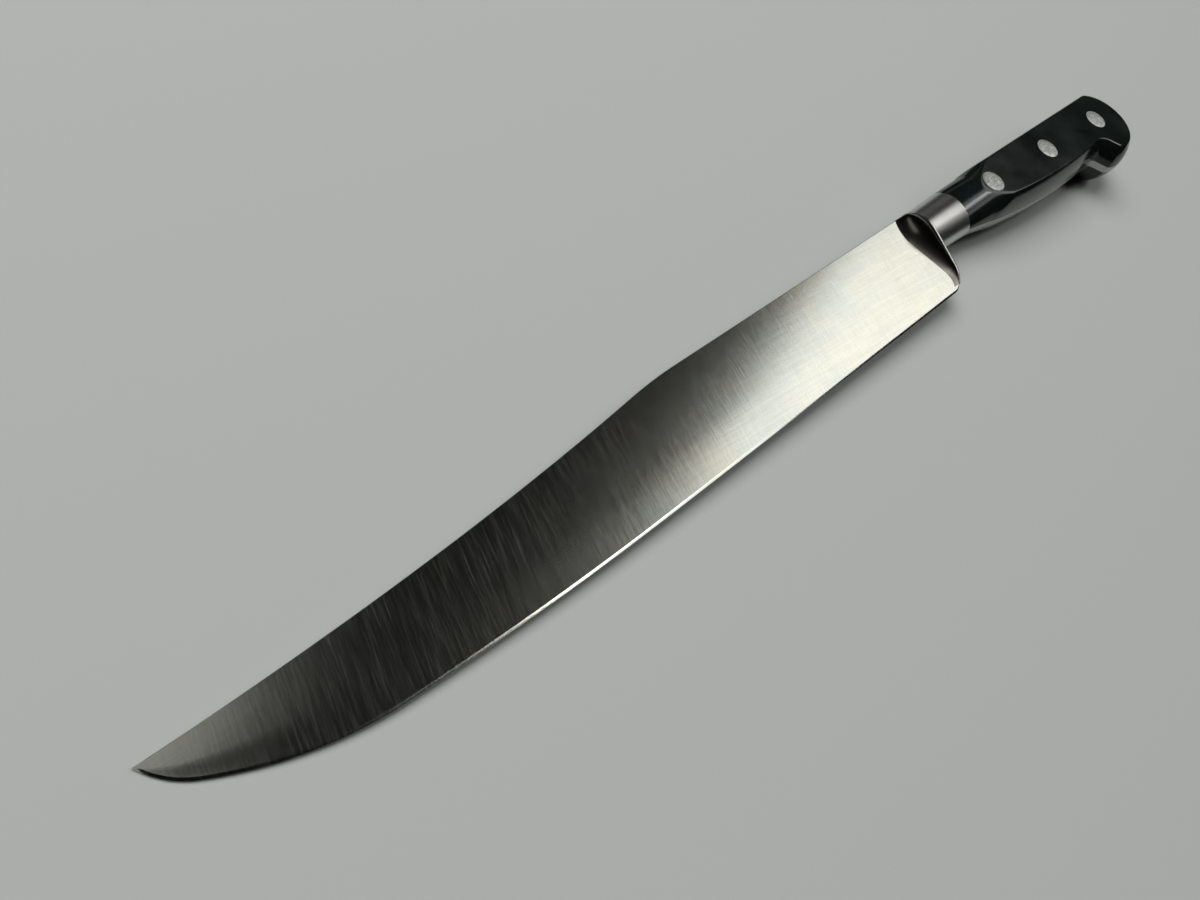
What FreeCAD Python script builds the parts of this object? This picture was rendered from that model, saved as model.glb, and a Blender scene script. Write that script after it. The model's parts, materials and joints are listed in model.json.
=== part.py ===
"""A forged carving knife with a full tang, two riveted scales and a sabre-shaped blade.

The knife is drawn about its front rivet: +X runs to the butt, +Y to the spine, +Z to the
left cheek, and Z = 0 is the middle plane of the blade and tang. At the end every piece
gets one common placement that lays the knife on its right side, as it lies on a board.
"""
import FreeCAD, Part
import math
import os

import Sketcher
from FreeCAD import Placement, Rotation, Vector

doc = FreeCAD.newDocument("carving_knife")

# Driving sizes in millimetres and degrees, measured from the front rivet where they are places.
SIZES = {
    # rivets
    "rivet_pitch": 36.1,
    "rivet_head_radius": 4.0,
    "rivet_head_height": 3.0,
    "rivet_stem_radius": 1.7,
    "rivet_tube_radius": 2.5,
    "rivet_end_gap": 0.4,
    "rivet_clearance": 0.03,
    # handle, seen from the side
    "handle_thickness": 17.4,
    "spine_angle": 1.8,
    "handle_top": 9.45,
    "butt_centre_x": 74.2,
    "butt_radius": 15.6,
    "butt_crest": 2.42,
    "beak_tip_turn": 21.75,
    "beak_length": 5.04,
    "beak_angle": 58.0,
    "throat_radius": 3.0,
    "belly_low_x": 33.0,
    "belly_radius": 300.0,
    "top_crown": 1.7,
    "belly_crown": 3.2,
    # neck of the handle, an oval that flares out of the collar
    "neck_length": 11.5,
    "neck_half_height": 9.25,
    "neck_half_width": 9.0,
    "neck_centre_y": 0.05,
    "neck_flare": 0.24,
    "blank_margin": 1.6,
    # collar and tang
    "collar_end": 16.5,
    "collar_half_height": 8.3,
    "collar_half_width": 6.0,
    "collar_centre_y": 0.6,
    "tang_front_thickness": 3.4,
    "tang_back_thickness": 2.1,
    # guard: the raised lip that carries the collar and runs down to the heel
    "guard_back": 34.0,
    "guard_land": 1.0,
    "guard_half_height": 7.9,
    "guard_half_width": 6.3,
    "guard_centre_y": 0.1,
    "guard_step": 0.25,
    "guard_low_y": -18.4,
    "guard_proud": 0.6,
    "guard_low_half_width": 0.75,
    "ramp_length": 7.2,
    "ramp_foot": 0.17,
    "ramp_drop": 0.8,
    # blade
    "blade_length": 248.4,
    "spine_at_guard": 7.64,
    "spine_straight": 105.6,
    "spine_bend_radius": 144.0,
    "spine_bend_turn": 6.5,
    "spine_sweep_radius": 978.0,
    "heel_radius": 6.8,
    "heel_corner_y": -14.45,
    "edge_angle": 1.9,
    "edge_sweep_radius": 960.0,
    "edge_sweep_turn": 4.25,
    "belly_curve_radius": 80.0,
    "belly_curve_turn": 26.4,
    "tip_curve_radius": 17.6,
    "tip_curve_turn": 37.35,
    "heel_spine_thickness": 2.9,
    "tip_spine_thickness": 1.5,
    "grind_low_y": -27.5,
    "grind_thickness": 0.3,
    "edge_thickness": 0.1,
    "bevel_angle": 15.0,
    "bevel_height": 0.6,
}

# What follows from the sizes. The butt's round stands its crest above the line of the top, the
# beak starts from that round, and throat and belly follow it, tangent to each other. A crown is
# an arc that falls back by its size from the middle plane to the cheeks.
DERIVED = {
    "butt_centre_y": "=handle_top + butt_centre_x * tan(spine_angle * 1 deg) + butt_crest - butt_radius",
    "throat_x": "=butt_centre_x - butt_radius * sin(beak_tip_turn * 1 deg)"
                " - beak_length * cos(beak_angle * 1 deg) - throat_radius * sin(beak_angle * 1 deg)",
    "throat_y": "=butt_centre_y - butt_radius * cos(beak_tip_turn * 1 deg)"
                " + beak_length * sin(beak_angle * 1 deg) - throat_radius * cos(beak_angle * 1 deg)",
    "belly_centre_y": "=throat_y + sqrt((belly_radius + throat_radius) ^ 2 - (throat_x - belly_low_x) ^ 2)",
    "finger_depth": "=0.8 * throat_radius",
    "top_crown_radius": "=(handle_thickness ^ 2 / 4 + top_crown ^ 2) / (2 * top_crown)",
    "belly_crown_radius": "=(handle_thickness ^ 2 / 4 + belly_crown ^ 2) / (2 * belly_crown)",
}

sheet = doc.addObject("Spreadsheet::Sheet", "Sizes")
for row, (alias, value) in enumerate({**SIZES, **DERIVED}.items(), start=1):
    sheet.set("A%d" % row, alias.replace("_", " "))
    sheet.set("B%d" % row, str(value))
    sheet.setAlias("B%d" % row, alias)
doc.recompute()


def size(alias):
    """The number that the sheet holds under this alias."""
    return float(getattr(sheet, alias))


def bind(thing, **expressions):
    """Tie properties to expressions over the sheet; a double underscore stands for a dot."""
    for name, expression in expressions.items():
        thing.setExpression(name.replace("__", "."), expression)


# ---------------------------------------------------------------- sketch helpers

def heading(angle):
    return Vector(math.cos(math.radians(angle)), math.sin(math.radians(angle)), 0)


def left_of(direction):
    return Vector(-direction.y, direction.x, 0)


def arc_between(start, end, centre, clockwise):
    """A sketch arc from start to end; an arc runs anticlockwise, so a clockwise one is swapped."""
    first, last = (end, start) if clockwise else (start, end)
    circle = Part.Circle(centre, Vector(0, 0, 1), (start - centre).Length)
    return Part.ArcOfCircle(circle, circle.parameter(first), circle.parameter(last))


class Outline:
    """A closed sketch outline of lines and arcs, and the constraints that tie it to the sheet."""

    def __init__(self, name, level=None):
        self.sketch = doc.addObject("Sketcher::SketchObject", name)
        if level:
            self.sketch.setExpression("Placement.Base.z", level)
        self.ends = []

    def line(self, start, end):
        self.sketch.addGeometry(Part.LineSegment(start, end), False)
        self.ends.append((1, 2))
        return len(self.ends) - 1

    def arc(self, start, end, centre, clockwise):
        self.sketch.addGeometry(arc_between(start, end, centre, clockwise), False)
        self.ends.append((2, 1) if clockwise else (1, 2))
        return len(self.ends) - 1

    def tie(self, kind, *where, to=None):
        """Add a constraint and, for a dimension, bind it to an expression over the sheet."""
        index = self.sketch.addConstraint(Sketcher.Constraint(kind, *where))
        if to:
            self.sketch.setExpression("Constraints[%d]" % index, to)

    def place(self, item, end, at, x=None, y=None):
        """Hold one end (0 start, 1 finish) or the centre (None) of an item at bound coordinates."""
        corner = 3 if end is None else self.ends[item][end]
        if x:
            self.tie("DistanceX", -1, 1, item, corner, at.x, to=x)
        if y:
            self.tie("DistanceY", -1, 1, item, corner, at.y, to=y)

    def lean(self, item, degrees, expression):
        """Hold the heading of a line, or the turn of an arc, at a bound number of degrees."""
        self.tie("Angle", item, math.radians(degrees), to="(%s) * 1 deg" % expression)

    def follow(self):
        """Join the items into an open path, each tangent to the one before."""
        for item in range(1, len(self.ends)):
            self.tie("Tangent", item - 1, self.ends[item - 1][1], item, self.ends[item][0])

    def join(self, tangent_pairs=()):
        """Close the outline: each item's finish meets the next one's start, some of them tangent."""
        for item in range(len(self.ends)):
            following = (item + 1) % len(self.ends)
            kind = "Tangent" if (item, following) in tangent_pairs else "Coincident"
            self.tie(kind, item, self.ends[item][1], following, self.ends[following][0])


def section_plane(x):
    """The placement of a section across the knife: sketch X along knife Y, sketch Y along Z."""
    return Placement(Vector(x, 0, 0), Rotation(Vector(1, 1, 1), 120))


def oval(name, x, centre_y, half_height, half_width):
    """An ellipse across the knife, bound to expressions for its place and half sizes."""
    ring = doc.addObject("Part::Ellipse", name)
    ring.Placement = section_plane(0)
    bind(ring, Placement__Base__x=x, Placement__Base__y=centre_y)
    bind(ring, MajorRadius=half_height, MinorRadius=half_width)
    return ring


def ruled_loft(name, sections):
    body = doc.addObject("Part::Loft", name)
    body.Sections = sections
    body.Solid = True
    body.Ruled = True
    return body


def extrusion(name, profile, direction, length):
    """A profile carried half of the length to each side of its own plane."""
    body = doc.addObject("Part::Extrusion", name)
    body.Base = profile
    body.DirMode = "Custom"
    body.Dir = direction
    body.Solid = True
    body.Symmetric = True
    bind(body, LengthFwd=length)
    return body


def common(name, shapes):
    body = doc.addObject("Part::MultiCommon", name)
    body.Shapes = shapes
    return body


def fuse(name, shapes):
    body = doc.addObject("Part::MultiFuse", name)
    body.Shapes = shapes
    return body


def cut(name, base, tool):
    body = doc.addObject("Part::Cut", name)
    body.Base = base
    body.Tool = tool
    return body


# ---------------------------------------------------------------- handle block
# Both scales and the tang are one block, ground to shape together: flat cheeks, a crowned top,
# belly and butt, and a front end that is ground down to the oval of the collar.

def crowned_section(name, crown, apex, apex_at, far, far_at, half, half_at, hollow=False):
    """A section with one crowned side: sketch X runs out of the handle, sketch Y through its cheeks.

    The crown's arc stands at apex in the middle plane. The section reaches half its height to
    each side of that plane, and ends at far. A hollow one lies outside the crown, not within it.
    """
    radius = size(crown + "_radius")
    sign, dash = (1, " + ") if hollow else (-1, " - ")
    centre = Vector(apex + sign * radius, 0, 0)
    corner_x = centre.x - sign * math.sqrt(radius ** 2 - half ** 2)
    low = Vector(corner_x, -half, 0)
    high = Vector(corner_x, half, 0)
    shape = Outline(name)
    arc = shape.arc(low, high, centre, clockwise=hollow)
    high_side = shape.line(high, Vector(far, half, 0))
    far_side = shape.line(Vector(far, half, 0), Vector(far, -half, 0))
    low_side = shape.line(Vector(far, -half, 0), low)
    shape.join()
    shape.place(arc, None, centre, x=apex_at + dash + "Sizes.%s_radius" % crown)
    shape.tie("PointOnObject", arc, 3, -1)
    shape.tie("Radius", arc, radius, to="Sizes.%s_radius" % crown)
    shape.tie("Horizontal", high_side)
    shape.tie("Vertical", far_side)
    shape.tie("Horizontal", low_side)
    shape.place(far_side, 0, Vector(far, half, 0), x=far_at, y=half_at)
    shape.place(far_side, 1, Vector(far, -half, 0), y="-(%s)" % half_at)
    return shape.sketch


def make_blank(over_at):
    """The plain block in front of the butt: all from the collar to the middle of the butt's round.

    Its floor follows the belly, half the depth of the finger hollow outside it.
    """
    front_x = -size("collar_end") - size("blank_margin")
    back_x = size("butt_centre_x")
    top_y = size("handle_top") + back_x * heading(size("spine_angle")).y + size("blank_margin")
    belly = Vector(size("belly_low_x"), size("belly_centre_y"), 0)
    radius = size("belly_radius") + size("finger_depth") / 2
    front_low = Vector(front_x, belly.y - math.sqrt(radius ** 2 - (front_x - belly.x) ** 2), 0)
    back_low = Vector(back_x, belly.y - math.sqrt(radius ** 2 - (back_x - belly.x) ** 2), 0)
    front_top = Vector(front_x, top_y, 0)
    back_top = Vector(back_x, top_y, 0)
    shape = Outline("blank_outline")
    front = shape.line(front_top, front_low)
    floor = shape.arc(front_low, back_low, belly, clockwise=False)
    back = shape.line(back_low, back_top)
    top = shape.line(back_top, front_top)
    shape.join()
    shape.tie("Vertical", front)
    shape.tie("Vertical", back)
    shape.tie("Horizontal", top)
    shape.place(floor, None, belly, x="Sizes.belly_low_x", y="Sizes.belly_centre_y")
    shape.tie("Radius", floor, radius, to="Sizes.belly_radius + Sizes.finger_depth / 2")
    shape.place(top, 1, front_top, x="-Sizes.collar_end - Sizes.blank_margin",
                y="Sizes.handle_top + Sizes.butt_centre_x * sin(Sizes.spine_angle * 1 deg)"
                  " + Sizes.blank_margin")
    shape.place(top, 0, back_top, x="Sizes.butt_centre_x")
    return extrusion("blank", shape.sketch, Vector(0, 0, 1), "2 * (%s)" % over_at)


def make_butt(over, over_at):
    """The butt's round, turned about its own axis with the crown that the belly has."""
    section = crowned_section("butt_section", "belly_crown", size("butt_radius"), "Sizes.butt_radius",
                              0.0, "0", over, over_at)
    section.Placement = Placement(Vector(0, 0, 0), Rotation(Vector(1, 0, 0), 90))
    bind(section, Placement__Base__x="Sizes.butt_centre_x", Placement__Base__y="Sizes.butt_centre_y")
    butt = doc.addObject("Part::Revolution", "butt_round")
    butt.Source = section
    butt.Axis = Vector(0, 0, 1)
    butt.Angle = 360
    butt.Solid = True
    bind(butt, Base__x="Sizes.butt_centre_x", Base__y="Sizes.butt_centre_y")
    return butt


def make_crowned_slab():
    """The crowned top and the two flat cheeks, drawn as one section and carried along the spine."""
    start_at = "-2 * Sizes.collar_end"
    section = crowned_section("slab_section", "top_crown", 0.0, "0", -4 * size("butt_radius"),
                              "-4 * Sizes.butt_radius", size("handle_thickness") / 2,
                              "Sizes.handle_thickness / 2")
    section.Placement = section_plane(0)
    bind(section, Placement__Base__x=start_at,
         Placement__Base__y="Sizes.handle_top + (%s) * tan(Sizes.spine_angle * 1 deg)" % start_at)
    slab = doc.addObject("Part::Extrusion", "crowned_slab")
    slab.Base = section
    slab.DirMode = "Custom"
    slab.Solid = True
    bind(slab, Dir__x="cos(Sizes.spine_angle * 1 deg)", Dir__y="sin(Sizes.spine_angle * 1 deg)", Dir__z="0",
         LengthFwd="Sizes.butt_centre_x + 2 * Sizes.butt_radius + 2 * Sizes.collar_end")
    return slab


def make_finger_hollow(over, over_at):
    """What is ground away under the belly, in the throat and before the beak, in one sweep.

    The path is the belly's long arc, a small hollow arc for the throat, and a straight line for
    the beak, each tangent to the one before. The section's crown rounds the handle towards its
    cheeks, and a drilled core clears the middle of the throat.
    """
    belly = Vector(size("belly_low_x"), size("belly_centre_y"), 0)
    throat = Vector(size("throat_x"), size("throat_y"), 0)
    beak = heading(-size("beak_angle"))
    start_x = -2 * size("collar_end")
    start = Vector(start_x, belly.y - math.sqrt(size("belly_radius") ** 2 - (start_x - belly.x) ** 2), 0)
    reach = size("belly_radius") + size("throat_radius")
    join = throat + (belly - throat) * (size("throat_radius") / reach)
    beak_start = throat + left_of(beak) * size("throat_radius")
    beak_end = beak_start + beak * (2 * size("beak_length"))
    path = Outline("finger_path")
    belly_arc = path.arc(start, join, belly, clockwise=False)
    throat_arc = path.arc(join, beak_start, throat, clockwise=True)
    beak_line = path.line(beak_start, beak_end)
    path.follow()
    path.place(belly_arc, 0, start, x="-2 * Sizes.collar_end")
    path.place(belly_arc, None, belly, x="Sizes.belly_low_x")
    path.tie("Radius", belly_arc, size("belly_radius"), to="Sizes.belly_radius")
    path.place(throat_arc, None, throat, x="Sizes.throat_x", y="Sizes.throat_y")
    path.tie("Radius", throat_arc, size("throat_radius"), to="Sizes.throat_radius")
    path.lean(beak_line, -size("beak_angle"), "-Sizes.beak_angle")
    path.tie("Distance", beak_line, 2 * size("beak_length"), to="2 * Sizes.beak_length")
    section = crowned_section("finger_section", "belly_crown", 0.0, "0", -size("finger_depth"),
                              "-Sizes.finger_depth", over, over_at, hollow=True)
    section.Placement = section_plane(0)
    bind(section, Placement__Base__x="Sizes.belly_low_x",
         Placement__Base__y="Sizes.belly_centre_y - Sizes.belly_radius")
    sweep = doc.addObject("Part::Sweep", "finger_sweep")
    sweep.Sections = [section]
    sweep.Spine = (path.sketch, ["Edge1", "Edge2", "Edge3"])
    sweep.Solid = True
    core = doc.addObject("Part::Cylinder", "throat_core")
    bind(core, Radius="(Sizes.throat_radius + Sizes.finger_depth) / 2", Height="2 * (%s)" % over_at)
    bind(core, Placement__Base__x="Sizes.throat_x", Placement__Base__y="Sizes.throat_y",
         Placement__Base__z="-(%s)" % over_at)
    return fuse("finger_hollow", [sweep, core])


def make_neck_cone():
    """The oval that continues the collar and flares out until it has left the crowned block."""
    neck_x = "(Sizes.neck_length - Sizes.collar_end)"
    back_x = "(Sizes.butt_centre_x + 2 * Sizes.butt_radius)"
    spread = " + Sizes.neck_flare * (%s - %s)" % (back_x, neck_x)
    return ruled_loft("neck_cone", [
        oval("collar_end_oval", "-Sizes.collar_end", "Sizes.collar_centre_y",
             "Sizes.collar_half_height", "Sizes.collar_half_width"),
        oval("neck_oval", neck_x, "Sizes.neck_centre_y",
             "Sizes.neck_half_height", "Sizes.neck_half_width"),
        oval("flare_oval", back_x, "Sizes.neck_centre_y",
             "Sizes.neck_half_height" + spread, "Sizes.neck_half_width" + spread),
    ])


def make_handle_block():
    """Blank and butt in one, crowned on every side, met by the neck and hollowed for the fingers.

    The shapes that are crowned reach over the cheeks, and the slab then cuts them off flat.
    """
    over = size("handle_thickness") / 2 + size("blank_margin")
    over_at = "Sizes.handle_thickness / 2 + Sizes.blank_margin"
    rough = fuse("rough_handle", [make_blank(over_at), make_butt(over, over_at)])
    crowned = common("crowned_handle", [rough, make_crowned_slab(), make_neck_cone()])
    return cut("handle_block", crowned, make_finger_hollow(over, over_at))


def side_panel(name, corners):
    """A four-cornered panel drawn across the knife's thickness, and taller than the handle."""
    profile = doc.addObject("Sketcher::SketchObject", name + "_profile")
    profile.Placement = Placement(Vector(0, 0, 0), Rotation(Vector(1, 0, 0), 90))
    points = [Vector(x[0], z[0], 0) for x, z in corners]
    for start, end in zip(points, points[1:] + points[:1]):
        profile.addGeometry(Part.LineSegment(start, end), False)
    for item, (x, z) in enumerate(corners):
        profile.addConstraint(Sketcher.Constraint("Coincident", item, 2, (item + 1) % 4, 1))
        for kind, (number, expression) in (("DistanceX", x), ("DistanceY", z)):
            index = profile.addConstraint(Sketcher.Constraint(kind, -1, 1, item, 1, number))
            profile.setExpression("Constraints[%d]" % index, expression)
    return extrusion(name, profile, Vector(0, 1, 0), "4 * Sizes.butt_radius")


def make_tang_and_scale_panels():
    """Three panels that share their faces: the tapering tang, and all that lies to each side."""
    front = (-size("collar_end") - size("guard_land"), "-Sizes.collar_end - Sizes.guard_land")
    back = (size("butt_centre_x") + 2 * size("butt_radius"), "Sizes.butt_centre_x + 2 * Sizes.butt_radius")
    far = size("handle_thickness")
    thin = size("tang_back_thickness") / 2
    thick = size("tang_front_thickness") / 2
    panels = []
    for name, sign in (("left_side", 1), ("right_side", -1)):
        dash = "-" if sign < 0 else ""
        panels.append(side_panel(name, [
            (front, (sign * thick, dash + "Sizes.tang_front_thickness / 2")),
            (back, (sign * thin, dash + "Sizes.tang_back_thickness / 2")),
            (back, (sign * far, dash + "Sizes.handle_thickness")),
            (front, (sign * far, dash + "Sizes.handle_thickness")),
        ]))
    tang = side_panel("tang_taper", [
        (front, (-thick, "-Sizes.tang_front_thickness / 2")),
        (back, (-thin, "-Sizes.tang_back_thickness / 2")),
        (back, (thin, "Sizes.tang_back_thickness / 2")),
        (front, (thick, "Sizes.tang_front_thickness / 2")),
    ])
    return tang, panels[0], panels[1]


# ---------------------------------------------------------------- rivets
# Three cutler's rivets. Each is two halves: a stud with a solid stem, driven into a socket
# whose tube passes through the scales and the tang. Both heads end flush with the cheeks.

RIVETS = ["front_rivet", "middle_rivet", "rear_rivet"]


def turned(name, station, profile):
    """A turned piece about an axis along Z at a rivet's station; profile is (radius, height) pairs."""
    body = doc.addObject("PartDesign::Body", name)
    plane = [p for p in body.Origin.OriginFeatures if p.Role == "XZ_Plane"][0]
    sketch = body.newObject("Sketcher::SketchObject", name + "_profile")
    sketch.AttachmentSupport = [(plane, "")]
    sketch.MapMode = "FlatFace"
    bind(sketch, AttachmentOffset__Base__x="Sizes.rivet_pitch * %d" % station)
    points = [Vector(radius[0], height[0], 0) for radius, height in profile]
    count = len(points)
    for start, end in zip(points, points[1:] + points[:1]):
        sketch.addGeometry(Part.LineSegment(start, end), False)
    for item, (radius, height) in enumerate(profile):
        sketch.addConstraint(Sketcher.Constraint("Coincident", item, 2, (item + 1) % count, 1))
        for kind, (number, expression) in (("DistanceX", radius), ("DistanceY", height)):
            index = sketch.addConstraint(Sketcher.Constraint(kind, -1, 1, item, 1, number))
            sketch.setExpression("Constraints[%d]" % index, expression)
    turn = body.newObject("PartDesign::Revolution", name + "_turning")
    turn.Profile = sketch
    turn.ReferenceAxis = (sketch, ["V_Axis"])
    turn.Angle = 360
    return body


def make_rivet(name, station):
    """A stud from the left cheek and a socket from the right one, sharing every height."""
    cheek = size("handle_thickness") / 2
    under = cheek - size("rivet_head_height")
    gap = size("rivet_end_gap")
    cheek_at = "Sizes.handle_thickness / 2"
    under_at = "(Sizes.handle_thickness / 2 - Sizes.rivet_head_height)"
    axis = (0.0, "0")
    head = (size("rivet_head_radius"), "Sizes.rivet_head_radius")
    stem = (size("rivet_stem_radius"), "Sizes.rivet_stem_radius")
    bore = (stem[0] + size("rivet_clearance"), "Sizes.rivet_stem_radius + Sizes.rivet_clearance")
    tube = (size("rivet_tube_radius"), "Sizes.rivet_tube_radius")
    stud_end = (-under + gap, "-%s + Sizes.rivet_end_gap" % under_at)
    tube_end = (under - gap, "%s - Sizes.rivet_end_gap" % under_at)
    stud = turned(name + "_stud", station, [
        (axis, stud_end),
        (stem, stud_end),
        (stem, (under, under_at)),
        (head, (under, under_at)),
        (head, (cheek, cheek_at)),
        (axis, (cheek, cheek_at)),
    ])
    socket = turned(name + "_socket", station, [
        (axis, (-cheek, "-" + cheek_at)),
        (head, (-cheek, "-" + cheek_at)),
        (head, (-under, "-" + under_at)),
        (tube, (-under, "-" + under_at)),
        (tube, tube_end),
        (bore, tube_end),
        (bore, (-under, "-" + under_at)),
        (axis, (-under, "-" + under_at)),
    ])
    return [stud, socket]


def make_rivet_holes():
    """The drilling for all three rivets: a hole for the tube and a seat for each head."""
    drills = []
    cheek = "Sizes.handle_thickness / 2"
    for station, name in enumerate(RIVETS):
        for part, radius, low, height in (
            ("hole", "rivet_tube_radius", "-Sizes.handle_thickness", "2 * Sizes.handle_thickness"),
            ("left_seat", "rivet_head_radius", cheek + " - Sizes.rivet_head_height",
             "2 * Sizes.rivet_head_height"),
            ("right_seat", "rivet_head_radius", "-%s - Sizes.rivet_head_height" % cheek,
             "2 * Sizes.rivet_head_height"),
        ):
            drill = doc.addObject("Part::Cylinder", "%s_%s" % (name, part))
            bind(drill, Radius="Sizes.%s + Sizes.rivet_clearance" % radius, Height=height)
            bind(drill, Placement__Base__x="Sizes.rivet_pitch * %d" % station, Placement__Base__z=low)
            drills.append(drill)
    return fuse("rivet_drilling", drills)


# ---------------------------------------------------------------- blade
# The blade is what three shapes have in common: its spine line seen from the side, the
# wedge that is ground from heel to tip, and the cutting edge with its sharpened bevel.

def make_spine_side():
    """All that lies under the spine: straight from the guard, bent down, then swept out to the tip."""
    along = heading(size("spine_angle") + 180)
    bend_heading = heading(size("spine_angle") + size("spine_bend_turn") + 180)
    guard_x = -size("guard_back") - size("guard_land")
    start_x = -size("guard_back")
    start = Vector(start_x, size("spine_at_guard") + (start_x - guard_x) * along.y / along.x, 0)
    bend_start = Vector(guard_x, size("spine_at_guard"), 0) + along * size("spine_straight")
    bend_centre = bend_start + left_of(along) * size("spine_bend_radius")
    bend_end = bend_centre - left_of(bend_heading) * size("spine_bend_radius")
    sweep_centre = bend_end - left_of(bend_heading) * size("spine_sweep_radius")
    end_x = guard_x - size("blade_length") - size("heel_radius")
    drop = math.sqrt(size("spine_sweep_radius") ** 2 - (end_x - sweep_centre.x) ** 2)
    end = Vector(end_x, sweep_centre.y - drop, 0)
    low_left = Vector(end_x, size("grind_low_y") * 2, 0)
    low_right = Vector(start_x, size("grind_low_y") * 2, 0)

    shape = Outline("spine_side_outline")
    straight = shape.line(start, bend_start)
    bend = shape.arc(bend_start, bend_end, bend_centre, clockwise=False)
    sweep = shape.arc(bend_end, end, sweep_centre, clockwise=True)
    left = shape.line(end, low_left)
    low = shape.line(low_left, low_right)
    right = shape.line(low_right, start)
    shape.join([(straight, bend), (bend, sweep)])
    shape.lean(straight, size("spine_angle") - 180, "Sizes.spine_angle - 180")
    shape.place(straight, 0, start, x="-Sizes.guard_back",
                y="Sizes.spine_at_guard + Sizes.guard_land * tan(Sizes.spine_angle * 1 deg)")
    shape.place(straight, 1, bend_start,
                x="-Sizes.guard_back - Sizes.guard_land"
                  " - Sizes.spine_straight * cos(Sizes.spine_angle * 1 deg)")
    shape.tie("Radius", bend, size("spine_bend_radius"), to="Sizes.spine_bend_radius")
    shape.lean(bend, size("spine_bend_turn"), "Sizes.spine_bend_turn")
    shape.tie("Radius", sweep, size("spine_sweep_radius"), to="Sizes.spine_sweep_radius")
    shape.place(left, 0, end,
                x="-Sizes.guard_back - Sizes.guard_land - Sizes.blade_length - Sizes.heel_radius")
    shape.tie("Vertical", left)
    shape.tie("Horizontal", low)
    shape.tie("Vertical", right)
    shape.place(low, 0, low_left, y="2 * Sizes.grind_low_y")
    return extrusion("spine_side", shape.sketch, Vector(0, 0, 1), "2 * Sizes.handle_thickness")


def edge_outline(name, level, inset, inset_at):
    """The heel, cutting edge and tip as one chain of tangent arcs, drawn in by the inset.

    All levels share their arc centres, so the bevel between two of them has one slope.
    """
    heel_centre = Vector(-size("guard_back") - size("guard_land") / 2 - size("heel_radius"),
                         size("heel_corner_y"), 0)
    angle = 180 + size("edge_angle")
    turns = [("edge_sweep_radius", "edge_sweep_turn"), ("belly_curve_radius", "belly_curve_turn"),
             ("tip_curve_radius", "tip_curve_turn")]
    tip_x = -size("guard_back") - size("guard_land") - size("blade_length")

    # walk back from the tip, whose place is given, to find every centre of the chain
    headings = [angle]
    for radius, turn in turns:
        headings.append(headings[-1] - size(turn))
    offsets = []
    walk = Vector(0, 0, 0)
    for (radius, turn), before, after in zip(turns, headings, headings[1:]):
        offsets.append(walk - left_of(heading(before)) * size(radius))
        walk = offsets[-1] + left_of(heading(after)) * size(radius)
    edge_start = heel_centre + left_of(heading(angle)) * size("heel_radius")
    straight = (tip_x - walk.x - edge_start.x) / heading(angle).x
    centres = [edge_start + heading(angle) * straight + offset for offset in offsets]

    top_y = size("collar_half_height") * 2
    heel_x = heel_centre.x + size("heel_radius") - inset
    heel_top = Vector(heel_x, top_y, 0)
    heel_low = Vector(heel_x, heel_centre.y, 0)
    edge_start = heel_centre + left_of(heading(angle)) * (size("heel_radius") - inset)
    shape = Outline(name, level)
    chain = [shape.line(heel_top, heel_low)]
    chain.append(shape.arc(heel_low, edge_start, heel_centre, clockwise=True))
    here = centres[0] + left_of(heading(angle)) * (size(turns[0][0]) - inset)
    chain.append(shape.line(edge_start, here))
    for (radius, turn), centre, after in zip(turns, centres, headings[1:]):
        there = centre + left_of(heading(after)) * (size(radius) - inset)
        chain.append(shape.arc(here, there, centre, clockwise=True))
        here = there
    tip_heading = heading(headings[-1])
    tip_top = here + tip_heading * ((top_y - here.y) / tip_heading.y)
    chain.append(shape.line(here, tip_top))
    shape.line(tip_top, heel_top)
    heel_line, heel_arc, edge_line, sweep, curve, tip, tip_line = chain
    shape.join(list(zip(chain, chain[1:])))
    less = " - (%s)" % inset_at
    shape.tie("Vertical", heel_line)
    shape.place(heel_line, 0, heel_top, y="2 * Sizes.collar_half_height")
    shape.place(tip_line, 1, tip_top, y="2 * Sizes.collar_half_height")
    shape.place(heel_arc, None, heel_centre,
                x="-Sizes.guard_back - Sizes.guard_land / 2 - Sizes.heel_radius",
                y="Sizes.heel_corner_y")
    shape.tie("Radius", heel_arc, size("heel_radius") - inset, to="Sizes.heel_radius" + less)
    shape.lean(edge_line, size("edge_angle") - 180, "Sizes.edge_angle - 180")
    for item, (radius, turn) in zip((sweep, curve, tip), turns):
        shape.tie("Radius", item, size(radius) - inset, to="Sizes.%s%s" % (radius, less))
        shape.lean(item, size(turn), "Sizes." + turn)
    end_angle = "(Sizes.edge_angle - Sizes.edge_sweep_turn - Sizes.belly_curve_turn - Sizes.tip_curve_turn)"
    shape.place(tip, None, centres[-1],
                x="-Sizes.guard_back - Sizes.guard_land - Sizes.blade_length"
                  " - Sizes.tip_curve_radius * sin(%s * 1 deg)" % end_angle)
    return shape.sketch


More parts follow.
